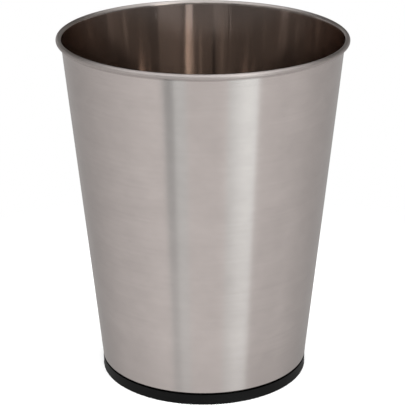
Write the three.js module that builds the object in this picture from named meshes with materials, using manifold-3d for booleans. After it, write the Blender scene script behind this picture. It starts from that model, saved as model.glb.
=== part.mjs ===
// An open-top wastebasket of brushed stainless steel sheet, standing on a black moulded base ring.
// Millimetres, +Z up. The origin is the centre of the base, on the floor.
//
// Three pieces, as they come apart on a bench:
//   body_shell  one sheet rolled into a cone and butt-welded, curled outward into a hollow rim bead
//               at the top, and necked in at the foot, where its edge ends in a hook
//   bottom_pan  a pressed steel floor, whose edge is double-seamed round the shell's hook
//   base_ring   a U-shaped plastic ring that snaps up over the double seam

import * as THREE from "three";
import { mergeVertices } from "three/addons/utils/BufferGeometryUtils.js";
import Module from "manifold-3d";

const wasm = await Module();
wasm.setup();

// ---- Driving dimensions ----

const HEIGHT = 317;
const RIM_RADIUS = 130;
const BEAD_DIAMETER = 4.9;
const CURL_END = -138; // degrees round the bead from straight outward, where the sheet's edge tucks in
const SHEET = 0.5;

const FOOT_RADIUS = 95; // outside of the wall where it turns in
const FOOT_Z = 11.3; // underside of the turned-in ledge
const FOOT_BEND = 0.55; // bends are given on the sheet's middle line
const NECK_RADIUS = 90.75; // middle of the sheet below the ledge

const SEAM_BOTTOM = 2.3;
const SEAM_TOP = 7;
const SEAM_GAP = 0.15; // between the layers of the double seam

const FLOOR_Z = 9.2; // middle of the pan's sheet
const PANEL_RISE = 1.5; // the pan's middle is pressed up by this much
const PANEL_RADIUS = 74;
const PANEL_STEP = 3; // the width of the slope up to the panel
const PAN_BEND = 0.9;

const RING_RADIUS = 95; // flush with the foot of the wall
const RING_HEIGHT = 9.9;
const RING_WALL = 1.6;
const RING_WEB = 1.9; // the ring's floor, which the seam rests on
const RING_INNER_RADIUS = 87.5;
const RING_INNER_HEIGHT = 6.4; // the ring's inner wall is lower than its skirt
const RING_EDGE = 0.45; // rounding on the ring's edges
const TREAD_GROOVES = [89.9, 92.6];
const TREAD_WIDTH = 1;
const TREAD_DEPTH = 0.5;

const SNAP_COUNT = 12;
const SNAP_LENGTH = 12;
const SNAP_BITE = 0.4; // how far a snap tab reaches in over the seam
const SNAP_HEIGHT = 1.5;
const SNAP_LIP = 0.5; // height of a tab at its tip
const SNAP_ROOT = 0.96; // how far inside the ring's outer face a tab starts, buried in the skirt
const SNAP_CLEARANCE = 0.3; // between a tab and the seam's top

const WELD_AZIMUTH = 78; // degrees from +X towards +Y
const WELD_WIDTH = 1.6;
const WELD_PROUD = 0.15;
const WELD_SUNK = 0.35; // how far the weld reaches into the sheet
const WELD_START = 3; // the weld bead is ground away this far above the foot

const FACETS = 64; // round the axis, the same on every piece so that the layers stay parallel
const BEAD_STEPS = 12;
const BEND_STEPS = 2;
const SHARPEST_MITRE = 0.3; // cosine that limits how far the outline runs out at a sharp corner
const ON_AXIS = 1e-6; // a point nearer the axis than this is on it
const SAME_POINT = 1e-4; // points nearer to each other than this are one

// ---- Places that follow from them ----

const LAYER = SHEET + SEAM_GAP; // pitch of the seam's layers
const wallRise = HEIGHT - BEAD_DIAMETER / 2 - FOOT_Z; // from the foot to the bead's middle
const taper = Math.atan2(RIM_RADIUS - BEAD_DIAMETER + SHEET - FOOT_RADIUS, wallRise);
const beadCentre = new THREE.Vector2(RIM_RADIUS - BEAD_DIAMETER / 2, HEIGHT - BEAD_DIAMETER / 2);
const beadMiddleRadius = (BEAD_DIAMETER - SHEET) / 2;

// ---- Profiles: points are (radius, height) ----

const degrees = THREE.MathUtils.degToRad;
const at = (r, z) => new THREE.Vector2(r, z);

// A path through corners, each [r, z, bend radius], with the bends as arcs.
function bentPath(corners) {
  const points = [at(corners[0][0], corners[0][1])];
  for (let i = 1; i < corners.length - 1; i++) {
    const [r, z, bend] = corners[i];
    const corner = at(r, z);
    const into = at(corners[i - 1][0], corners[i - 1][1]).sub(corner).normalize();
    const out = at(corners[i + 1][0], corners[i + 1][1]).sub(corner).normalize();
    const half = Math.acos(THREE.MathUtils.clamp(into.dot(out), -1, 1)) / 2;
    const centre = into.clone().add(out).normalize().multiplyScalar(bend / Math.sin(half)).add(corner);
    const start = into.clone().multiplyScalar(bend / Math.tan(half)).add(corner).sub(centre);
    const end = out.clone().multiplyScalar(bend / Math.tan(half)).add(corner).sub(centre);
    const turn = Math.atan2(start.cross(end), start.dot(end));
    const steps = Math.max(1, Math.round((BEND_STEPS * Math.abs(turn)) / (Math.PI / 2)));
    for (let k = 0; k <= steps; k++) {
      points.push(start.clone().rotateAround(at(0, 0), (turn * k) / steps).add(centre));
    }
  }
  const last = corners[corners.length - 1];
  points.push(at(last[0], last[1]));
  return points;
}

// The closed outline of a sheet whose middle line is given.
function sheetOutline(middle, thickness) {
  const side = (sign) =>
    middle.map((point, i) => {
      const before = point.clone().sub(middle[Math.max(i - 1, 0)]);
      const after = middle[Math.min(i + 1, middle.length - 1)].clone().sub(point);
      if (i === 0) before.copy(after);
      if (i === middle.length - 1) after.copy(before);
      before.normalize();
      after.normalize();
      const across = at(-before.y - after.y, before.x + after.x).normalize();
      const mitre = 1 / Math.max(SHARPEST_MITRE, across.dot(at(-before.y, before.x)));
      return across.multiplyScalar((sign * mitre * thickness) / 2).add(point);
    });
  return [...side(-1), ...side(1).reverse()];
}

// The shell's middle line, from the end of the rim curl, down the wall, to the tip of the seam hook.
function shellMiddleLine() {
  const curlEnd = degrees(CURL_END);
  const curlStart = Math.PI - taper; // where the wall runs into the bead
  const curl = [];
  for (let i = 0; i <= BEAD_STEPS; i++) {
    const angle = THREE.MathUtils.lerp(curlEnd, curlStart, i / BEAD_STEPS);
    curl.push(at(Math.cos(angle), Math.sin(angle)).multiplyScalar(beadMiddleRadius).add(beadCentre));
  }
  const wallTop = curl.pop();
  const hookBend = LAYER / 2;
  const below = bentPath([
    [wallTop.x, wallTop.y],
    [FOOT_RADIUS - SHEET / 2, FOOT_Z + SHEET / 2, FOOT_BEND],
    [NECK_RADIUS, FOOT_Z + SHEET / 2, FOOT_BEND],
    [NECK_RADIUS, SEAM_BOTTOM + LAYER + SHEET / 2, hookBend],
    [NECK_RADIUS + 2 * LAYER, SEAM_BOTTOM + LAYER + SHEET / 2, hookBend],
    [NECK_RADIUS + 2 * LAYER, SEAM_TOP - LAYER - SHEET / 2],
  ]);
  return [...curl, ...below];
}

// The pan's middle line, from the middle of the floor, down inside the neck, and round the shell's hook.
function panMiddleLine() {
  const inner = NECK_RADIUS - LAYER;
  const outer = NECK_RADIUS + 3 * LAYER;
  const hookBend = LAYER / 2;
  return bentPath([
    [0, FLOOR_Z + PANEL_RISE],
    [PANEL_RADIUS, FLOOR_Z + PANEL_RISE, PAN_BEND],
    [PANEL_RADIUS + PANEL_STEP, FLOOR_Z, PAN_BEND],
    [inner, FLOOR_Z, PAN_BEND],
    [inner, SEAM_BOTTOM + SHEET / 2, hookBend],
    [outer, SEAM_BOTTOM + SHEET / 2, hookBend],
    [outer, SEAM_TOP - SHEET / 2, hookBend],
    [NECK_RADIUS + LAYER, SEAM_TOP - SHEET / 2, hookBend],
    [NECK_RADIUS + LAYER, SEAM_BOTTOM + 2 * LAYER + SHEET / 2 + SEAM_GAP],
  ]);
}

// The ring's outline: an outer skirt, a floor with tread grooves, and a lower inner wall.
function ringOutline() {
  const skirtInside = RING_RADIUS - RING_WALL;
  const innerOutside = RING_INNER_RADIUS + RING_WALL;
  const edge = RING_EDGE;
  return [
    at(RING_INNER_RADIUS, edge),
    at(RING_INNER_RADIUS + edge, 0),
    ...TREAD_GROOVES.flatMap((r) => [
      at(r - TREAD_WIDTH / 2, 0),
      at(r - TREAD_WIDTH / 4, TREAD_DEPTH),
      at(r + TREAD_WIDTH / 4, TREAD_DEPTH),
      at(r + TREAD_WIDTH / 2, 0),
    ]),
    at(RING_RADIUS - edge, 0),
    at(RING_RADIUS, edge),
    at(RING_RADIUS, RING_HEIGHT - edge),
    at(RING_RADIUS - edge, RING_HEIGHT),
    at(skirtInside, RING_HEIGHT),
    at(skirtInside, RING_WEB),
    at(innerOutside, RING_WEB),
    at(innerOutside - edge, RING_INNER_HEIGHT),
    at(RING_INNER_RADIUS, RING_INNER_HEIGHT),
  ];
}

// ---- Solids ----

// Turns an outline about +Z. An outline that starts on the axis ends there too; any other is closed here.
function turned(outline) {
  const onAxis = outline[0].x < ON_AXIS;
  const closed = onAxis ? outline : [...outline, outline[0].clone()];
  return new THREE.LatheGeometry(closed, FACETS).rotateX(Math.PI / 2);
}

function solidOf(geometry) {
  const bare = geometry.index ? geometry.toNonIndexed() : geometry.clone();
  bare.deleteAttribute("normal");
  bare.deleteAttribute("uv");
  const merged = mergeVertices(bare, SAME_POINT);
  const mesh = new wasm.Mesh({
    numProp: 3,
    vertProperties: merged.attributes.position.array,
    triVerts: new Uint32Array(merged.index.array),
  });
  return new wasm.Manifold(mesh);
}

function geometryOf(solid) {
  const mesh = solid.getMesh();
  const geometry = new THREE.BufferGeometry();
  geometry.setAttribute("position", new THREE.BufferAttribute(mesh.vertProperties, 3));
  geometry.setIndex(new THREE.BufferAttribute(mesh.triVerts, 1));
  return geometry;
}

// A straight bar of the given (radius, height) section, lying across the +X axis.
function crossBar(section, length) {
  const shape = new THREE.Shape(section);
  const bar = new THREE.ExtrudeGeometry(shape, { depth: length, bevelEnabled: false });
  return bar.translate(0, 0, -length / 2).rotateX(Math.PI / 2);
}

// The weld down the inside of the wall, where the two edges of the rolled sheet meet.
function weldBead() {
  const low = FOOT_Z + WELD_START;
  const high = HEIGHT - BEAD_DIAMETER;
  const insideAt = (z) => FOOT_RADIUS - SHEET + (z - FOOT_Z) * Math.tan(taper);
  const facetFlat = Math.cos(Math.PI / FACETS); // a facet's middle lies nearer the axis than its corners
  const section = [low, high].map((z) => at(insideAt(z) * facetFlat, z));
  return crossBar(
    [
      at(section[0].x - WELD_PROUD, low),
      at(section[0].x + WELD_SUNK, low),
      at(section[1].x + WELD_SUNK, high),
      at(section[1].x - WELD_PROUD, high),
    ],
    WELD_WIDTH,
  );
}

// A snap tab on the inside of the ring's skirt. Its slope lets it ride up past the seam, and its flat
// underside then hooks over the seam's top.
function snapTab() {
  const root = RING_RADIUS - SNAP_ROOT;
  const tip = NECK_RADIUS + 3 * LAYER + SHEET / 2 - SNAP_BITE;
  const bottom = SEAM_TOP + SNAP_CLEARANCE;
  return crossBar(
    [
      at(root, bottom),
      at(tip, bottom),
      at(tip, bottom + SNAP_LIP),
      at(RING_RADIUS - RING_WALL, bottom + SNAP_HEIGHT),
      at(root, bottom + SNAP_HEIGHT),
    ],
    SNAP_LENGTH,
  );
}

function bodyShell() {
  const wall = solidOf(turned(sheetOutline(shellMiddleLine(), SHEET)));
  const facet = 360 / FACETS;
  const azimuth = (Math.floor(WELD_AZIMUTH / facet) + 0.5) * facet; // the middle of a facet
  const weld = solidOf(weldBead().rotateZ(degrees(azimuth)));
  return geometryOf(wall.add(weld));
}

function baseRing() {
  let ring = solidOf(turned(ringOutline()));
  for (let i = 0; i < SNAP_COUNT; i++) {
    ring = ring.add(solidOf(snapTab().rotateZ((i * 2 * Math.PI) / SNAP_COUNT)));
  }
  return geometryOf(ring);
}

// ---- The object ----

const brushedSteel = new THREE.MeshStandardMaterial({ color: 0xb4aca9, roughness: 0.35, metalness: 1 });
const millSteel = new THREE.MeshStandardMaterial({ color: 0xa39a94, roughness: 0.2, metalness: 1 });
const blackPlastic = new THREE.MeshStandardMaterial({ color: 0x1c1c1d, roughness: 0.45, metalness: 0 });

function piece(name, geometry, material) {
  const mesh = new THREE.Mesh(geometry, material);
  mesh.name = name;
  return mesh;
}

const wastebasket = new THREE.Group();
wastebasket.add(piece("body_shell", bodyShell(), brushedSteel));
wastebasket.add(piece("bottom_pan", turned(sheetOutline(panMiddleLine(), SHEET)), millSteel));
wastebasket.add(piece("base_ring", baseRing(), blackPlastic));

export default wastebasket;
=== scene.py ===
# An open-top wastebasket of brushed stainless steel on a black moulded base ring.
#
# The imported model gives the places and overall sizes, and the sizes of the details are stated below. Each
# of its three nodes is replaced by a fine mesh of the same piece: shell, floor pan and base ring.
import math
from collections import namedtuple

import bpy
from mathutils import Matrix, Vector


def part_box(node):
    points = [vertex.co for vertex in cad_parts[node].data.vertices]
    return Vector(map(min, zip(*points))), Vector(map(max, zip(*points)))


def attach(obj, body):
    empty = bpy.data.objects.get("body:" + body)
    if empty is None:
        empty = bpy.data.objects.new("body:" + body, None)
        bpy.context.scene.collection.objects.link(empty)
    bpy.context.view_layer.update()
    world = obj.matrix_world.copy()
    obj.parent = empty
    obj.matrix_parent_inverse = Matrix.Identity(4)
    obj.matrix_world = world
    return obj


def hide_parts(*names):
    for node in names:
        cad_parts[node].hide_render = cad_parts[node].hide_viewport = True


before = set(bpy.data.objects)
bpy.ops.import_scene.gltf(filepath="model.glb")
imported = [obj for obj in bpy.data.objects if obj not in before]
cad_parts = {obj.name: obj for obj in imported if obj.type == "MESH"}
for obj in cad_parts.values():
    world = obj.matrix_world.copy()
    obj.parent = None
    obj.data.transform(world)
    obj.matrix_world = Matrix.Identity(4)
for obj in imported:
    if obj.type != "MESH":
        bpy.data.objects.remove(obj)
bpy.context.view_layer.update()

MM = 0.001
TURN = 2 * math.pi

# ---- Places and sizes from the frame ----

shell_low, shell_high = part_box("body_shell")
pan_low, pan_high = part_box("bottom_pan")
ring_low, ring_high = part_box("base_ring")

HEIGHT = shell_high.z
RIM_RADIUS = shell_high.x
RING_RADIUS = ring_high.x
RING_HEIGHT = ring_high.z
SEAM_RADIUS = pan_high.x  # outside of the double seam
SEAM_BOTTOM = pan_low.z
PANEL_TOP = pan_high.z

# ---- Sizes of the details, in metres ----

SHEET = 0.5 * MM
SEAM_GAP = 0.15 * MM  # between the layers of the double seam
LAYER = SHEET + SEAM_GAP
SEAM_TOP = 7 * MM
NECK_RADIUS = SEAM_RADIUS - 3 * LAYER - SHEET / 2  # middle of the sheet above the seam

BEAD_RADIUS = 2.45 * MM
SHOULDER = 1.75  # how much longer than a round bend the wall's turn into the bead is
SHARPEST_MITRE = 0.3  # cosine that limits how far a sheet's outline runs out at a sharp corner
CURL_END = math.radians(-138)  # round the bead from straight outward
RIM_LEAN = 0.0042  # the rim is not quite level: how steeply it falls towards +X
FOOT_RADIUS = RING_RADIUS  # outside of the wall where it turns in
FOOT_Z = RING_HEIGHT + 1.4 * MM  # the shadow gap above the ring
FOOT_BEND = 0.55 * MM

PANEL_RISE = 1.5 * MM
PANEL_RADIUS = 74 * MM
PANEL_STEP = 3 * MM
PAN_BEND = 0.9 * MM

RING_WALL = 1.6 * MM
RING_WEB = 1.9 * MM  # the ring's floor, which the seam rests on
RING_INNER_RADIUS = RING_RADIUS - 7.5 * MM
RING_INNER_HEIGHT = 6.4 * MM
RING_EDGE = 0.45 * MM  # rounding of the edges that show
RING_BEND = 0.3 * MM  # rounding of the corners inside the skirt
RING_CUT = 0.02 * MM  # the smallest step between two points of the ring's outline
TREAD_GROOVES = [89.9 * MM, 92.6 * MM]
TREAD_WIDTH = 1 * MM
TREAD_DEPTH = 0.5 * MM
TREAD_EDGE = 0.05 * MM
TREAD_BEND = 0.1 * MM
SNAP_COUNT = 12
SNAP_LENGTH = 12 * MM
SNAP_CLEARANCE = 0.3 * MM  # between a tab and the seam's top
SNAP_BOTTOM = SEAM_TOP + SNAP_CLEARANCE
SNAP_HEIGHT = 1.5 * MM
SNAP_LIP = SNAP_HEIGHT / 3  # height of a tab at its tip
SNAP_BITE = 0.4 * MM  # how far a tab reaches in over the seam
SNAP_REACH = RING_RADIUS - RING_WALL - SEAM_RADIUS + SNAP_BITE
SNAP_ENDS = 0.3 * MM  # the length over which a tab's end runs out into the skirt
SNAP_TOLERANCE = 0.01 * MM  # a point of the outline this near the skirt's face or a tab's edge is on it

WELD_AZIMUTH = math.radians(78)  # from +X towards +Y
WELD_WIDTH = 1.6 * MM
WELD_PROUD = 0.12 * MM  # inside the basket
WELD_GROUND = 0.03 * MM  # how deep the grinding went outside, and half its width
WELD_GROUND_WIDTH = 1.5 * MM
WELD_CREASE = 0.16 * MM  # the line it leaves across the bead, and half its width
WELD_CREASE_WIDTH = 0.45 * MM
WELD_START = (3 * MM, 6 * MM)  # above the foot the weld grows over this stretch
WELD_END = (2.2, 1.8)  # and below the rim it ends over this one, in bead radii

# The thin wall's waves: how many round the basket, their size in mm, where they start, and how they twist
# with height.
WAVES = [(2, 0.10, 0.7, 0), (3, 0.05, -1.1, 9), (7, 0.022, 2.0, -14), (13, 0.008, 0.4, 31)]
FREE_FROM = (20 * MM, 90 * MM)  # the foot holds the wall round up to here
HELD_BY_BEAD = 60 * MM  # the bead holds it over this much at the top
BEAD_HOLD = 0.7  # the share of the waves that the bead takes away
LEAN_FROM = 30 * MM  # the lean grows from here to the rim

AROUND = 320  # facets round the axis
STEP = math.radians(12)  # the finest turn of a bend
LONGEST = 12 * MM  # the longest facet along a profile
BEND_MARGIN = 0.2 * MM  # the facet beside a bend
SHARP_EDGE = math.radians(40)  # faces that meet at more than this are shaded apart
ON_AXIS = 1e-9  # a point nearer the axis than this is on it

# ---- Profiles: points are (radius, height) in metres ----

Spot = namedtuple("Spot", "r z face")  # face is the material's name on the facet that starts here


def arc(centre, radius, start, end):
    """Points on an arc about centre, from angle start to angle end."""
    steps = max(2, round(abs(end - start) / STEP))
    angles = [start + (end - start) * k / steps for k in range(steps + 1)]
    return [centre + Vector((math.cos(a), math.sin(a))) * radius for a in angles]


def bent_path(corners):
    """A path through corners, each (r, z, bend radius), with the bends as arcs."""
    points = [Vector(corners[0][:2])]
    for before, here, after in zip(corners, corners[1:], corners[2:]):
        corner = Vector(here[:2])
        bend = here[2]
        into = (Vector(before[:2]) - corner).normalized()
        out = (Vector(after[:2]) - corner).normalized()
        half = into.angle(out) / 2
        centre = corner + (into + out).normalized() * (bend / math.sin(half))
        start = corner + into * (bend / math.tan(half)) - centre
        end = corner + out * (bend / math.tan(half)) - centre
        first = math.atan2(start.y, start.x)
        turned = math.atan2(start.cross(end), start.dot(end))
        points += arc(centre, bend, first, first + turned)
    points.append(Vector(corners[-1][:2]))
    return points


def divided(path):
    """The same path with its straight stretches cut into even facets.

    The first and last facet of a stretch are short, so that a bend's shading stays within the bend.
    """
    points = [path[0]]
    for a, b in zip(path, path[1:]):
        length = (b - a).length
        if length > 4 * BEND_MARGIN:
            margin = BEND_MARGIN / length
            pieces = math.ceil(length / LONGEST)
            points += [a.lerp(b, margin + (1 - 2 * margin) * k / pieces) for k in range(pieces + 1)]
        points.append(b)
    return points


def sheet_outline(middle, right_face, left_face):
    """The closed outline of a sheet about its middle line: out along its right side, back on its left."""
    right = []
    left = []
    for i, point in enumerate(middle):
        before = point - middle[i - 1] if i > 0 else middle[1] - point
        after = middle[i + 1] - point if i + 1 < len(middle) else before
        before = before.normalized()
        after = after.normalized()
        across = Vector((-before.y - after.y, before.x + after.x)).normalized()
        mitre = max(SHARPEST_MITRE, across.dot(Vector((-before.y, before.x))))
        offset = across * (SHEET / 2 / mitre)
        right.append(Spot(*(point - offset), right_face))
        left.append(Spot(*(point + offset), left_face))
    return right + left[::-1]


def shell_middle():
    """From the end of the rim curl, round the bead, down the wall, to the tip of the seam hook."""
    centre = Vector((RIM_RADIUS - BEAD_RADIUS, HEIGHT - BEAD_RADIUS))
    foot = Vector((FOOT_RADIUS - SHEET / 2, FOOT_Z + SHEET / 2))
    taper = math.atan2(centre.x - BEAD_RADIUS + SHEET - FOOT_RADIUS, centre.y - FOOT_Z)
    bend = BEAD_RADIUS - SHEET / 2
    curl = arc(centre, bend, CURL_END, math.pi / 2)
    shoulder_end = math.pi - math.atan(SHOULDER * math.tan(taper))
    for point in arc(Vector((0, 0)), bend, math.pi / 2, shoulder_end)[1:]:
        curl.append(centre + Vector((point.x, bend - SHOULDER * (bend - point.y))))
    hook_bottom = SEAM_BOTTOM + LAYER + SHEET / 2
    below = bent_path([
        (*curl[-1],),
        (*foot, FOOT_BEND),
        (NECK_RADIUS, foot.y, FOOT_BEND),
        (NECK_RADIUS, hook_bottom, LAYER / 2),
        (NECK_RADIUS + 2 * LAYER, hook_bottom, LAYER / 2),
        (NECK_RADIUS + 2 * LAYER, SEAM_TOP - LAYER - SHEET / 2),
    ])
    return divided(curl[:-1] + below)


def pan_middle():
    """From the middle of the floor, down inside the neck, and round the shell's hook."""
    panel = PANEL_TOP - SHEET / 2
    inner = NECK_RADIUS - LAYER
    outer = NECK_RADIUS + 3 * LAYER
    tucked = NECK_RADIUS + LAYER
    bottom = SEAM_BOTTOM + SHEET / 2
    top = SEAM_TOP - SHEET / 2
    return divided(bent_path([
        (0, panel),
        (PANEL_RADIUS, panel, PAN_BEND),
        (PANEL_RADIUS + PANEL_STEP, panel - PANEL_RISE, PAN_BEND),
        (inner, panel - PANEL_RISE, PAN_BEND),
        (inner, bottom, LAYER / 2),
        (outer, bottom, LAYER / 2),
        (outer, top, LAYER / 2),
        (tucked, top, LAYER / 2),
        (tucked, bottom + 2 * LAYER + SEAM_GAP),
    ]))


def tread_groove(radius):
    """The corners of one groove in the ring's underside."""
    return [
        (radius - TREAD_WIDTH / 2, 0, TREAD_EDGE),
        (radius - TREAD_WIDTH / 4, TREAD_DEPTH, TREAD_BEND),
        (radius + TREAD_WIDTH / 4, TREAD_DEPTH, TREAD_BEND),
        (radius + TREAD_WIDTH / 2, 0, TREAD_EDGE),
    ]


def ring_outline():
    """The ring's section, counter-clockwise: outer skirt, grooved floor, and a lower inner wall."""
    skirt = RING_RADIUS - RING_WALL
    inner = RING_INNER_RADIUS + RING_WALL
    path = bent_path([
        (RING_INNER_RADIUS, RING_INNER_HEIGHT / 2),
        (RING_INNER_RADIUS, 0, RING_EDGE),
        *tread_groove(TREAD_GROOVES[0]),
        *tread_groove(TREAD_GROOVES[1]),
        (RING_RADIUS, 0, RING_EDGE),
        (RING_RADIUS, RING_HEIGHT, RING_EDGE),
        (skirt, RING_HEIGHT, RING_BEND),
        (skirt, SNAP_BOTTOM + SNAP_HEIGHT),
    ])
    path += [Vector((skirt, SNAP_BOTTOM + SNAP_LIP)), Vector((skirt, SNAP_BOTTOM))]
    path += bent_path([
        (skirt, SNAP_BOTTOM - RING_CUT),
        (skirt, RING_WEB, RING_BEND),
        (inner, RING_WEB, RING_BEND),
        (inner, RING_INNER_HEIGHT, RING_EDGE),
        (RING_INNER_RADIUS, RING_INNER_HEIGHT, RING_EDGE),
        (RING_INNER_RADIUS, RING_INNER_HEIGHT / 2 + RING_CUT),
    ])
    return [Spot(*point, "plastic") for point in divided(path)]


# ---- Turned meshes ----


def round_angles(fine=()):
    """Angles all the way round. Near each of the fine angles the plain ones give way to it."""
    pitch = TURN / AROUND
    fine = sorted(a % TURN for a in fine)
    plain = [i * pitch for i in range(AROUND)]
    kept = [a for a in plain if all(abs((a - f + math.pi) % TURN - math.pi) > pitch / 2 for f in fine)]
    return sorted(kept + fine)


def turned(name, outline, angles, materials, place=None):
    """A closed mesh: a counter-clockwise outline turned about +Z, through the given angles.

    materials maps a spot's face to its material. place(angle, spot, normal) may move a point, where
    normal is the outline's outward normal, and returns its (r, z).
    """
    rows = []
    verts = []
    for i, spot in enumerate(outline):
        after = outline[(i + 1) % len(outline)]
        before = outline[i - 1]
        normal = Vector((after.z - before.z, before.r - after.r)).normalized()
        row = []
        for angle in angles if spot.r > ON_AXIS else [0]:
            r, z = place(angle, spot, normal) if place else (spot.r, spot.z)
            row.append(len(verts))
            verts.append((r * math.cos(angle), r * math.sin(angle), z))
        rows.append(row * len(angles) if len(row) == 1 else row)
    faces = []
    slots = []
    names = list(materials)
    for i, row in enumerate(rows):
        above = rows[(i + 1) % len(rows)]
        for j in range(len(angles)):
            k = (j + 1) % len(angles)
            corners = list(dict.fromkeys((row[j], row[k], above[k], above[j])))
            if len(corners) > 2:
                faces.append(corners)
                slots.append(names.index(outline[i].face))
    mesh = bpy.data.meshes.new(name)
    mesh.from_pydata(verts, [], faces)
    for material in materials.values():
        mesh.materials.append(material)
    mesh.polygons.foreach_set("material_index", slots)
    mesh.shade_smooth()
    mesh.set_sharp_from_angle(angle=SHARP_EDGE)
    piece = bpy.data.objects.new(name, mesh)
    bpy.context.scene.collection.objects.link(piece)
    return piece


def smoothstep(low, high, x):
    """0 below low, 1 above high, and a smooth rise between them."""
    t = min(1.0, max(0.0, (x - low) / (high - low)))
    return t * t * (3 - 2 * t)


def out_of_round(angle, z):
    """How far the thin wall stands out from a true cone. The bead and the foot hold it nearly round."""
    free = smoothstep(*FREE_FROM, z) * (1 - BEAD_HOLD * smoothstep(HEIGHT - HELD_BY_BEAD, HEIGHT, z))
    waves = sum(size * math.cos(count * angle + start + twist * z) for count, size, start, twist in WAVES)
    return waves * free * MM


def ridge(across, half_width):
    """A rounded ridge of height 1 along a line, at this distance across it."""
    return math.exp(-((across / half_width) ** 2))


def place_on_shell(angle, spot, normal):
    """The shell's sheet, slightly out of round, its weld proud inside and ground flush outside."""
    across = ((angle - WELD_AZIMUTH + math.pi) % TURN - math.pi) * spot.r
    above_foot = smoothstep(FOOT_Z + WELD_START[0], FOOT_Z + WELD_START[1], spot.z)
    in_bead = smoothstep(HEIGHT - WELD_END[0] * BEAD_RADIUS, HEIGHT - WELD_END[1] * BEAD_RADIUS, spot.z)
    on_wall = above_foot * (1 - in_bead)
    if spot.face == "bright_steel":
        out = WELD_PROUD * ridge(across, WELD_WIDTH / 2) * on_wall
        out -= WELD_CREASE * ridge(across, WELD_CREASE_WIDTH) * in_bead
    else:
        out = -WELD_GROUND * ridge(across, WELD_GROUND_WIDTH) * on_wall
    shift = out_of_round(angle, spot.z)
    lean = -RIM_LEAN * spot.r * math.cos(angle) * smoothstep(LEAN_FROM, HEIGHT, spot.z)
    return spot.r + shift + normal.x * out, spot.z + normal.y * out + lean


def place_on_ring(angle, spot, normal):
    """The ring's section, thickened by the snap tabs on the inside of its skirt."""
    on_skirt = abs(spot.r - (RING_RADIUS - RING_WALL)) < SNAP_TOLERANCE
    above_bottom = spot.z - SNAP_BOTTOM
    if not on_skirt or not -SNAP_TOLERANCE < above_bottom < SNAP_HEIGHT - SNAP_TOLERANCE:
        return spot.r, spot.z
    pitch = TURN / SNAP_COUNT
    from_tab = abs((angle + pitch / 2) % pitch - pitch / 2) * spot.r
    share = 1 - smoothstep(SNAP_LENGTH / 2, SNAP_LENGTH / 2 + SNAP_ENDS, from_tab)
    return spot.r - SNAP_REACH * share, spot.z


# ---- Materials ----

STEEL = (0.625, 0.566, 0.545)  # stainless steel's own slightly pink reflection
INSIDE_TINT = (0.965, 0.945, 0.92, 1)  # how the smooth face's reflection differs from the brushed one's
BRUSHED_TONES = (0.945, 1.055)  # shares of the steel's own reflection, where a pattern is low and high
SMOOTH_TONES = (0.97, 1.02)
PAN_TONES = (0.9, 1.0)
WELD_TONE = 0.84
# The steel's tone for the worn foot, and for the painted shade low on the wall and deep inside.
WEAR_AND_SHADE_TONE = 0.8
CREASE_SHADE_TONE = 0.66

# How fine the patterns in the surfaces are, in cycles per metre along x, y and z.
HAIR = (22, 22, 5200)  # single scratches of the brushing
STRAND = (9, 9, 950)
BAND = (5, 5, 70)
MOTTLE = (34, 34, 48)  # the faint blotches on the brushed face
ROLLED = (16, 16, 1500)  # the smooth face's lines
SMOOTH_SCUFF = (260, 260, 60)
PAN_SCUFF = (40, 900, 40)
FLOW = (30, 30, 120)  # the moulded ring's streaks
RING_SCUFF = (45, 45, 900)
USUAL = (0.3, 0.7)  # a noise pattern's value stays mostly between these

FOOT_WEAR = 14 * MM  # the foot is dulled by wear up to here
WEAR_DULLS = 0.3
# Below this height the wall is darker: a painted shadow, standing for the steel's reflection of its own
# shadow on a table. It is painted into the material, since the floor is left out of the steel's
# reflections.
TABLE_SHADE_HEIGHT = 50 * MM
TABLE_SHADE = 0.42
CREASE_DEPTHS = (2.4 * MM, 0.6 * MM)  # below the bead, where its painted shade starts and where it is full
BEAD_FACE = (0.85, 0.5)  # in bead radii: where the smooth face's finish turns into the bead's
BEAD_ROUGHER = 0.4
DEEP_SHADE_FROM = 150 * MM  # painted shade darkens the inside below here, and fully at the height below
DEEP_SHADE_FULL = 20 * MM
DEEP_SHADE_STRENGTH = 0.25

RING_GREYS = (0.002, 0.0035)
RING_WORN_GREY = 0.015
RING_WEAR = 0.4
RING_WEAR_HEIGHT = 2.5 * MM  # the ring is scuffed below here
RING_SHADOW_GREY = 0.0005
RING_SHADOW_DEPTHS = (0.5 * MM, 0.1 * MM)  # below the top, where the ledge's painted shadow starts and is full
RING_SPECULAR = (0.13, 0.01)  # on the open face, and on the edge in the painted shadow


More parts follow.
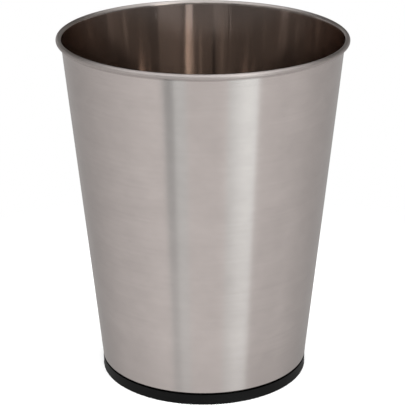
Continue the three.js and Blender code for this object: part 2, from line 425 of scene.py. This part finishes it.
class Nodes:
    """A short way to write a node tree: each method adds a node and returns its output."""

    def __init__(self, tree):
        self.tree = tree
        tree.nodes.clear()

    def add(self, kind, inputs=None, **settings):
        node = self.tree.nodes.new(kind)
        for key, value in settings.items():
            setattr(node, key, value)
        for key, value in (inputs or {}).items():
            if isinstance(value, bpy.types.NodeSocket):
                self.tree.links.new(value, node.inputs[key])
            else:
                node.inputs[key].default_value = value
        return node

    def maths(self, operation, a, b=0.0, c=0.0, clamp=False):
        node = self.add("ShaderNodeMath", {0: a, 1: b, 2: c}, operation=operation, use_clamp=clamp)
        return node.outputs[0]

    def product(self, a, b, clamp=False):
        return self.maths("MULTIPLY", a, b, clamp=clamp)

    def total(self, a, b):
        return self.maths("ADD", a, b)

    def place(self):
        """The point on the piece, in the object's own frame, in metres."""
        return self.add("ShaderNodeTexCoord").outputs["Object"]

    def split(self, vector):
        return self.add("ShaderNodeSeparateXYZ", {0: vector}).outputs

    def scaled(self, vector, scale):
        node = self.add("ShaderNodeVectorMath", {0: vector, 1: scale}, operation="MULTIPLY")
        return node.outputs[0]

    def noise(self, vector, scale=1.0, detail=2.0, roughness=0.5):
        inputs = {"Vector": vector, "Scale": scale, "Detail": detail, "Roughness": roughness}
        return self.add("ShaderNodeTexNoise", inputs).outputs[0]

    def ranged(self, value, low, high, to_low=0.0, to_high=1.0, smooth=False):
        inputs = {0: value, 1: low, 2: high, 3: to_low, 4: to_high}
        kind = "SMOOTHSTEP" if smooth else "LINEAR"
        return self.add("ShaderNodeMapRange", inputs, interpolation_type=kind).outputs[0]

    def mixed(self, share, a, b):
        """Colour a, turning to colour b as share goes from 0 to 1."""
        node = self.add("ShaderNodeMix", data_type="RGBA")
        for socket, value in ((node.inputs[0], share), (node.inputs[6], a), (node.inputs[7], b)):
            if isinstance(value, bpy.types.NodeSocket):
                self.tree.links.new(value, socket)
            else:
                socket.default_value = value
        return node.outputs[2]

    def from_axis(self, x, y):
        """The distance from the basket's axis."""
        return self.maths("SQRT", self.total(self.product(x, x), self.product(y, y)))

    def round_axis(self):
        """The direction round the basket's axis, which the sheet is rolled and brushed along."""
        return self.add("ShaderNodeTangent", direction_type="RADIAL", axis="Z").outputs[0]

    def tinted(self, colour, tint):
        """The colour multiplied by a tint."""
        node = self.add("ShaderNodeMix", data_type="RGBA", blend_type="MULTIPLY")
        node.inputs[0].default_value = 1
        node.inputs[7].default_value = tint
        self.tree.links.new(colour, node.inputs[6])
        return node.outputs[2]

    def bump(self, height, distance, strength=1.0):
        inputs = {"Height": height, "Distance": distance, "Strength": strength}
        return self.add("ShaderNodeBump", inputs).outputs[0]

    def surface(self, shader):
        self.add("ShaderNodeOutputMaterial", {"Surface": shader})


def material(name):
    made = bpy.data.materials.new(name)
    made.use_nodes = True
    return made, Nodes(made.node_tree)


def grey(level, warmth=0.0):
    """A colour of this level. Warmth above 0 leans it towards brown."""
    return (level * (1 + warmth), level, level * (1 - warmth), 1)


def steel_tone(share):
    """The steel's own reflection, times this share."""
    return tuple(share * c for c in STEEL) + (1,)


def brushed_steel():
    """Sheet brushed round the axis: fine level scratches that smear reflections up and down."""
    made, n = material("brushed_steel")
    point = n.place()
    x, y, z = n.split(point)
    hair = n.noise(n.scaled(point, HAIR), detail=3, roughness=0.7)
    strand = n.noise(n.scaled(point, STRAND), detail=4, roughness=0.6)
    band = n.noise(n.scaled(point, BAND), detail=3, roughness=0.5)
    cloud = n.noise(point, scale=14, detail=4, roughness=0.55)
    mottle = n.noise(n.scaled(point, MOTTLE), detail=4, roughness=0.6)
    grain = n.total(n.product(hair, 0.45), n.product(strand, 0.55))
    brushing = n.total(n.product(grain, 0.8), n.product(band, 0.2))
    tone = n.total(n.product(brushing, 0.55), n.product(mottle, 0.45))
    colour = n.mixed(n.ranged(tone, 0.38, 0.62), *map(steel_tone, BRUSHED_TONES))
    from_weld = n.maths("SUBTRACT", n.maths("ARCTAN2", y, x), WELD_AZIMUTH)
    from_weld = n.product(n.maths("ABSOLUTE", from_weld), RIM_RADIUS)
    on_weld = n.ranged(from_weld, WELD_WIDTH, WELD_WIDTH / 4, smooth=True)
    on_weld = n.product(on_weld, n.ranged(grain, 0.3, 0.6, 0.3, 1))
    colour = n.mixed(on_weld, colour, steel_tone(WELD_TONE))
    foot_wear = n.ranged(z, FOOT_Z + FOOT_WEAR, FOOT_Z, smooth=True)
    dulled = n.product(foot_wear, n.ranged(band, 0.4, 0.65), clamp=True)
    colour = n.mixed(n.product(dulled, WEAR_DULLS), colour, steel_tone(WEAR_AND_SHADE_TONE))
    # Painted shadow low on the wall: the reflection of its own shadow on the table.
    table_shadow = n.ranged(z, FOOT_Z + TABLE_SHADE_HEIGHT, FOOT_Z)
    colour = n.mixed(n.product(table_shadow, TABLE_SHADE), colour, steel_tone(WEAR_AND_SHADE_TONE))
    # Painted shade in the crease under the bead.
    starts, full = (HEIGHT - 2 * BEAD_RADIUS - depth for depth in CREASE_DEPTHS)
    crease_shade = n.ranged(z, starts, full, smooth=True)
    colour = n.mixed(crease_shade, colour, steel_tone(CREASE_SHADE_TONE))
    handled = n.ranged(cloud, 0.5, 0.78, smooth=True)
    roughness = n.ranged(grain, *USUAL, 0.205, 0.235)
    roughness = n.total(roughness, n.product(handled, 0.035))
    steel = n.add("ShaderNodeBsdfPrincipled", {
        "Base Color": colour,
        "Metallic": 1.0,
        "Roughness": roughness,
        "Anisotropic": 0.92,
        "Anisotropic Rotation": 0.25,
        "Tangent": n.round_axis(),
        "Normal": n.bump(grain, 0.006 * MM),
    })
    n.surface(steel.outputs[0])
    return made


def bright_steel():
    """The sheet's smooth face, inside the basket and over the bead: rolling lines, light scuffs, and
    painted shade deep inside.
    """
    made, n = material("bright_steel")
    point = n.place()
    x, y, z = n.split(point)
    rolled = n.noise(n.scaled(point, ROLLED), detail=3, roughness=0.6)
    cloud = n.noise(point, scale=11, detail=5, roughness=0.6)
    scuff = n.noise(n.scaled(point, SMOOTH_SCUFF), detail=2, roughness=0.5)
    up_and_out = n.total(n.from_axis(x, y), z)
    bead_middle = RIM_RADIUS + HEIGHT - 2 * BEAD_RADIUS
    starts, full = (bead_middle - share * BEAD_RADIUS for share in BEAD_FACE)
    on_bead = n.ranged(up_and_out, starts, full, smooth=True)
    colour = n.mixed(n.ranged(cloud, *USUAL), *map(steel_tone, SMOOTH_TONES))
    # Painted shade: the inside is darker deeper down.
    deep_shade = n.ranged(z, DEEP_SHADE_FROM, DEEP_SHADE_FULL, smooth=True)
    colour = n.mixed(n.product(deep_shade, DEEP_SHADE_STRENGTH), colour, steel_tone(WEAR_AND_SHADE_TONE))
    colour = n.mixed(on_bead, n.tinted(colour, INSIDE_TINT), colour)
    roughness = n.ranged(rolled, *USUAL, 0.07, 0.10)
    marks = n.product(n.ranged(scuff, 0.62, 0.75), n.ranged(cloud, 0.45, 0.65))
    roughness = n.total(roughness, n.product(marks, 0.1))
    roughness = n.total(roughness, n.product(on_bead, BEAD_ROUGHER))
    steel = n.add("ShaderNodeBsdfPrincipled", {
        "Base Color": colour,
        "Metallic": 1.0,
        "Roughness": roughness,
        "Anisotropic": 0.8,
        "Anisotropic Rotation": 0.25,
        "Tangent": n.round_axis(),
        "Normal": n.bump(rolled, 0.002 * MM),
    })
    n.surface(steel.outputs[0])
    return made


def drawn_steel():
    """The floor pan's sheet: bright, with faint rings where the press stretched it, and scuffs."""
    made, n = material("drawn_steel")
    point = n.place()
    x, y, z = n.split(point)
    around = n.add("ShaderNodeCombineXYZ", {0: n.from_axis(x, y), 1: n.product(z, 0.2)}).outputs[0]
    rings = n.noise(around, scale=900, detail=3, roughness=0.6)
    cloud = n.noise(point, scale=24, detail=5, roughness=0.6)
    scuff = n.noise(n.scaled(point, PAN_SCUFF), detail=2)
    colour = n.mixed(n.ranged(cloud, *USUAL), *map(steel_tone, PAN_TONES))
    roughness = n.ranged(rings, *USUAL, 0.2, 0.28)
    roughness = n.total(roughness, n.ranged(scuff, 0.6, 0.75, 0.0, 0.08))
    steel = n.add("ShaderNodeBsdfPrincipled", {
        "Base Color": colour,
        "Metallic": 1.0,
        "Roughness": roughness,
        "Normal": n.bump(rings, 0.003 * MM),
    })
    n.surface(steel.outputs[0])
    return made


def black_plastic():
    """Satin black moulded plastic: a fine even grain, scuffs along the edge near the floor, and a painted
    shadow along the top edge.
    """
    made, n = material("black_plastic")
    point = n.place()
    z = n.split(point)[2]
    grain = n.noise(point, scale=2600, detail=2, roughness=0.6)
    flow = n.noise(n.scaled(point, FLOW), detail=4, roughness=0.55)
    scuff = n.noise(n.scaled(point, RING_SCUFF), detail=3, roughness=0.6)
    low_edge = n.ranged(z, RING_WEAR_HEIGHT, 0.0, smooth=True)
    worn = n.product(low_edge, n.ranged(scuff, 0.48, 0.62), clamp=True)
    colour = n.mixed(n.ranged(flow, 0.35, 0.7), grey(RING_GREYS[0], -0.01), grey(RING_GREYS[1], 0.01))
    colour = n.mixed(n.product(worn, RING_WEAR), colour, grey(RING_WORN_GREY, 0.03))
    # Painted shadow of the ledge on the ring's top edge: darker, with less specular.
    starts, full = (RING_HEIGHT - depth for depth in RING_SHADOW_DEPTHS)
    ledge_shadow = n.ranged(z, starts, full)
    colour = n.mixed(ledge_shadow, colour, grey(RING_SHADOW_GREY))
    roughness = n.ranged(flow, *USUAL, 0.40, 0.48)
    roughness = n.total(roughness, n.product(worn, 0.15))
    plastic = n.add("ShaderNodeBsdfPrincipled", {
        "Base Color": colour,
        "Roughness": roughness,
        "Specular IOR Level": n.ranged(ledge_shadow, 0, 1, *RING_SPECULAR),
        "Normal": n.bump(grain, 0.02 * MM),
    })
    n.surface(plastic.outputs[0])
    return made


# ---- Pieces ----


def body_shell(materials):
    """The shell, with fine facets across its weld and wider ones on either side of them."""
    across_weld = [0.2 * MM * k for k in range(-10, 11)]
    beside_weld = [side * away * MM for away in (2.5, 3.2, 4.2) for side in (-1, 1)]
    fine = [WELD_AZIMUTH + across / RIM_RADIUS for across in across_weld + beside_weld]
    outline = sheet_outline(shell_middle(), "bright_steel", "brushed_steel")
    return turned("steel_shell", outline, round_angles(fine), materials, place_on_shell)


def floor_pan(materials):
    """The pan, the same material all over."""
    outline = sheet_outline(pan_middle(), "drawn_steel", "drawn_steel")
    return turned("floor_pan", outline, round_angles(), materials)


def base_ring(materials):
    """The ring, with fine facets at the ends of its snap tabs."""
    ends = [side * (SNAP_LENGTH / 2 + extra) for side in (-1, 1) for extra in (0, SNAP_ENDS / 2, SNAP_ENDS)]
    skirt = RING_RADIUS - RING_WALL
    fine = [TURN * k / SNAP_COUNT + end / skirt for k in range(SNAP_COUNT) for end in ends]
    return turned("black_base_ring", ring_outline(), round_angles(fine), materials, place_on_ring)


bright = bright_steel()
pieces = {
    "body_shell": body_shell({"bright_steel": bright, "brushed_steel": brushed_steel()}),
    "bottom_pan": floor_pan({"drawn_steel": drawn_steel()}),
    "base_ring": base_ring({"plastic": black_plastic()}),
}
for node, piece in pieces.items():
    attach(piece, "root")
    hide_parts(node)

# ---- Studio ----

# A soft panel of the studio, as the steel reflects it. left and right are azimuths in degrees, from -Y
# towards +X. low and high are elevations. Each soft is the width over which that edge fades. A panel
# whose glow is below 0 is a darker part of what lies behind it.
Panel = namedtuple("Panel", "name left right left_soft right_soft low high low_soft high_soft glow")
PANELS = [
    Panel("key softbox", 27.5, 41.5, 24, 1.5, 13.5, 19, 4, 5, 2.4),
    Panel("key softbox, its upper part", 27.5, 45, 24, 1.5, 22, 60, 4, 20, 1.8),
    Panel("key softbox, its lower edge", 30, 44, 10, 3, 3, 13, 3, 3, 0.25),
    Panel("its glare on the table", 26.5, 46.5, 24, 1, -29, -3, 22, 4, 0.75),
    Panel("overhead softbox", -120, 120, 60, 60, 36, 90, 20, 1, 1.55),
    Panel("board on the right", 58, 112, 10, 8, 13.5, 17, 2, 4, 0.5),
    Panel("board behind on the right", 138, 162, 4, 4, 3, 15, 3, 5, 0.12),
    Panel("light far behind on the left", -163, -152, 3, 3, 3, 13, 2, 2, 0.75),
    Panel("board behind on the left", -146, -106, 10, 5, 3, 13, 4, 4, 0.2),
    Panel("board on the left", -120, -58, 10, 10, 13.5, 17, 2, 4, 0.13),
    Panel("lamp on the left", -50, -44, 3, 3, 13, 20, 2, 4, 0.3),
    Panel("lamp in the middle", 3, 7, 2, 2, 21, 30, 3, 3, 1.5),
    Panel("gap between boards", -32.2, -24.6, 3, 3, -24, -3, 16, 4, -1.1),
    Panel("gap between boards, its wide end", -34.5, -31, 3, 3, -15, -3, 8, 4, -0.6),
    Panel("gap between boards, higher up", -30.8, -24.6, 3, 3, 13, 30, 4, 10, -0.4),
    Panel("the viewer", -14, 17, 14, 16, -19.5, -3, 15, 4, -0.3),
    Panel("near part of the table, on the right", 52, 90, 6, 20, -60, -36, 4, 10, -0.17),
    Panel("near part of the table, on the left", -150, -90, 20, 40, -60, -32, 4, 10, 0.11),
]

# Brightness of the studio behind the panels. Angles are in degrees.
TABLE_BACK = 0.418  # behind the basket, and in front of it
TABLE_FRONT = 0.8
TABLE_MIDDLE = 4  # azimuth of the brightest part of the table
TABLE_FADE = (150, 30)  # away from there: the table is dimmest, and brightest
TABLE_NEAR = (-50, -26, 0.9, 1.015)  # it is a little dimmer near the basket, from and to these elevations
WALL_LOW = 0.16  # just above the table, in general and far behind
WALL_LOW_BACK = 0.25
WALL_LOW_FADE = (140, 165)  # azimuths
WALL_BACK = 0.19  # higher up, behind and in front
WALL_FRONT = 0.47
WALL_FADE = (100, 40)
WALL_RISE = (11.5, 15)  # elevations where the lower part of the walls gives way to the upper
WALL_DIMS = (13.5, 20, 1.5, 0.25)  # the upper part dims between these elevations
HORIZON = (-1, 1.5)
DARKEST = 0.03

# Tints of the studio.
COOL = (0.925, 1, 1.005, 1)  # the glare of the key softbox, and the gap between the boards
WARM = (1.012, 1, 0.988, 1)  # the rest of the table
LAMPLIGHT = (1.045, 1, 0.9, 1)  # the walls and softboxes at eye level
PLAIN = (0.985, 1, 1.01, 1)  # the walls and softboxes elsewhere
WHITE = (1, 1, 1, 1)
KEY_MIDDLE = 34  # azimuths, and how far from them the cool tint ends and is full
KEY_REACH = (16, 11)
GAP_MIDDLE = -24
GAP_REACH = (13, 7)
COOL_FROM = (-44, -28)  # elevations
LAMPLIGHT_FROM = (9, 16)
LAMPLIGHT_TO = (34, 24)

FLOOR_SIDE = 80
FLOOR_FADE = (0.1, 0.45)  # the floor turns white between these distances from the axis
FLOOR_GREYS = (0.86, 0.88)

LAMP_SIZE = 4
LAMP_POWER = 150
LAMP_PLACE = (0, -0.2, 2.6)

# The camera is fitted to the outline that the viewer sees.
LENS = 148.13  # mm, on a sensor this wide
SENSOR = 36
SHIFT = -0.00255
PITCH = math.radians(20.549)  # downwards
ROLL = -0.00346
EYE = (0, -1.4313, 0.6948)
BOUNCES = 24  # enough for the reflections inside the basket


def apart(n, angle, middle):
    """How far an angle is from a middle one, on either side."""
    return n.maths("ABSOLUTE", n.maths("SUBTRACT", angle, middle))


def panel_share(n, azimuth, elevation, p):
    """1 on the panel, 0 off it, and a smooth fade at its edges."""
    rise = n.ranged(azimuth, p.left - p.left_soft / 2, p.left + p.left_soft / 2, smooth=True)
    fall = n.ranged(azimuth, p.right + p.right_soft / 2, p.right - p.right_soft / 2, smooth=True)
    above = n.ranged(elevation, p.low - p.low_soft / 2, p.low + p.low_soft / 2, smooth=True)
    below = n.ranged(elevation, p.high + p.high_soft / 2, p.high - p.high_soft / 2, smooth=True)
    return n.product(n.product(rise, fall), n.product(above, below))


def studio_glow(n, azimuth, elevation, horizon):
    """The brightness of the table, the walls and the panels."""
    aside = n.maths("ABSOLUTE", azimuth)
    table_fade = apart(n, azimuth, TABLE_MIDDLE)
    table = n.ranged(table_fade, *TABLE_FADE, TABLE_BACK, TABLE_FRONT, smooth=True)
    table = n.product(table, n.ranged(elevation, *TABLE_NEAR))
    upper = n.ranged(aside, *WALL_FADE, WALL_BACK, WALL_FRONT, smooth=True)
    upper = n.product(upper, n.ranged(elevation, *WALL_DIMS))
    lower = n.ranged(aside, *WALL_LOW_FADE, WALL_LOW, WALL_LOW_BACK, smooth=True)
    rising = n.ranged(elevation, *WALL_RISE, smooth=True)
    walls = n.add("ShaderNodeMix", {0: rising, 2: lower, 3: upper}).outputs[0]
    glow = n.add("ShaderNodeMix", {0: horizon, 2: table, 3: walls}).outputs[0]
    for panel in PANELS:
        share = panel_share(n, azimuth, elevation, panel)
        glow = n.total(glow, n.product(share, panel.glow))
    return n.maths("MAXIMUM", glow, DARKEST)


def studio_tint(n, azimuth, elevation, horizon):
    """The colour of the light from each side."""
    near_key = n.ranged(apart(n, azimuth, KEY_MIDDLE), *KEY_REACH, smooth=True)
    near_gap = n.ranged(apart(n, azimuth, GAP_MIDDLE), *GAP_REACH, smooth=True)
    cool = n.total(near_key, near_gap)
    cool = n.product(cool, n.ranged(elevation, *COOL_FROM, smooth=True), clamp=True)
    lamplit = n.product(n.ranged(elevation, *LAMPLIGHT_FROM), n.ranged(elevation, *LAMPLIGHT_TO))
    high_up = n.mixed(lamplit, PLAIN, LAMPLIGHT)
    return n.mixed(horizon, n.mixed(cool, WARM, COOL), high_up)


def studio_world():
    """A pale room: white to the camera, and to everything else a table, dim walls and soft panels."""
    world = bpy.data.worlds.new("studio")
    world.use_nodes = True
    n = Nodes(world.node_tree)
    direction = n.add("ShaderNodeTexCoord").outputs["Generated"]
    x, y, z = n.split(direction)
    azimuth = n.maths("DEGREES", n.maths("ARCTAN2", x, n.product(y, -1.0)))
    elevation = n.maths("DEGREES", n.maths("ARCSINE", z))
    horizon = n.ranged(elevation, *HORIZON, smooth=True)
    glow = studio_glow(n, azimuth, elevation, horizon)
    tint = studio_tint(n, azimuth, elevation, horizon)
    to_camera = n.add("ShaderNodeLightPath").outputs["Is Camera Ray"]
    glow = n.add("ShaderNodeMix", {0: to_camera, 2: glow, 3: 1.0}).outputs[0]
    colour = n.mixed(to_camera, tint, WHITE)
    back = n.add("ShaderNodeBackground", {"Color": colour, "Strength": glow})
    n.add("ShaderNodeOutputWorld", {"Surface": back.outputs[0]})
    bpy.context.scene.world = world


def floor():
    """A wide pale floor that fades to white away from the basket. The steel doesn't reflect it."""
    made, n = material("pale_floor")
    x, y, z = n.split(n.place())
    to_camera = n.add("ShaderNodeLightPath").outputs["Is Camera Ray"]
    fade = n.product(n.ranged(n.from_axis(x, y), *FLOOR_FADE, smooth=True), to_camera)
    tone = n.noise(n.place(), scale=9, detail=3)
    colour = n.mixed(n.ranged(tone, *USUAL), *map(grey, FLOOR_GREYS))
    paper = n.add("ShaderNodeBsdfDiffuse", {"Color": colour})
    white = n.add("ShaderNodeEmission", {"Color": WHITE})
    mix = n.add("ShaderNodeMixShader", {0: fade, 1: paper.outputs[0], 2: white.outputs[0]})
    n.surface(mix.outputs[0])
    half = FLOOR_SIDE / 2
    corners = [(-half, -half, 0), (half, -half, 0), (half, half, 0), (-half, half, 0)]
    mesh = bpy.data.meshes.new("floor")
    mesh.from_pydata(corners, [], [(0, 1, 2, 3)])
    mesh.materials.append(made)
    sheet = bpy.data.objects.new("floor", mesh)
    sheet.visible_glossy = False
    bpy.context.scene.collection.objects.link(sheet)


def soft_overhead():
    """A large soft light above, for the floor and the soft shadow on it."""
    lamp = bpy.data.lights.new("overhead", "AREA")
    lamp.shape = "DISK"
    lamp.size = LAMP_SIZE
    lamp.energy = LAMP_POWER
    light = bpy.data.objects.new("overhead", lamp)
    light.location = LAMP_PLACE
    to_basket = Vector((0, 0, 0)) - light.location
    light.rotation_euler = to_basket.to_track_quat("-Z", "Y").to_euler()
    light.visible_camera = False
    light.visible_glossy = False
    bpy.context.scene.collection.objects.link(light)


def camera():
    """The viewer stands in front, and looks down over the rim."""
    data = bpy.data.cameras.new("camera")
    data.lens = LENS
    data.sensor_width = SENSOR
    data.shift_x = SHIFT
    eye = bpy.data.objects.new("camera", data)
    turn = Matrix.Rotation(math.pi / 2 - PITCH, 4, "X") @ Matrix.Rotation(ROLL, 4, "Z")
    eye.matrix_world = Matrix.Translation(EYE) @ turn
    bpy.context.scene.collection.objects.link(eye)
    bpy.context.scene.camera = eye


studio_world()
floor()
soft_overhead()
camera()
bpy.context.scene.view_settings.view_transform = "Standard"
bpy.context.scene.cycles.max_bounces = BOUNCES
bpy.context.scene.cycles.glossy_bounces = BOUNCES
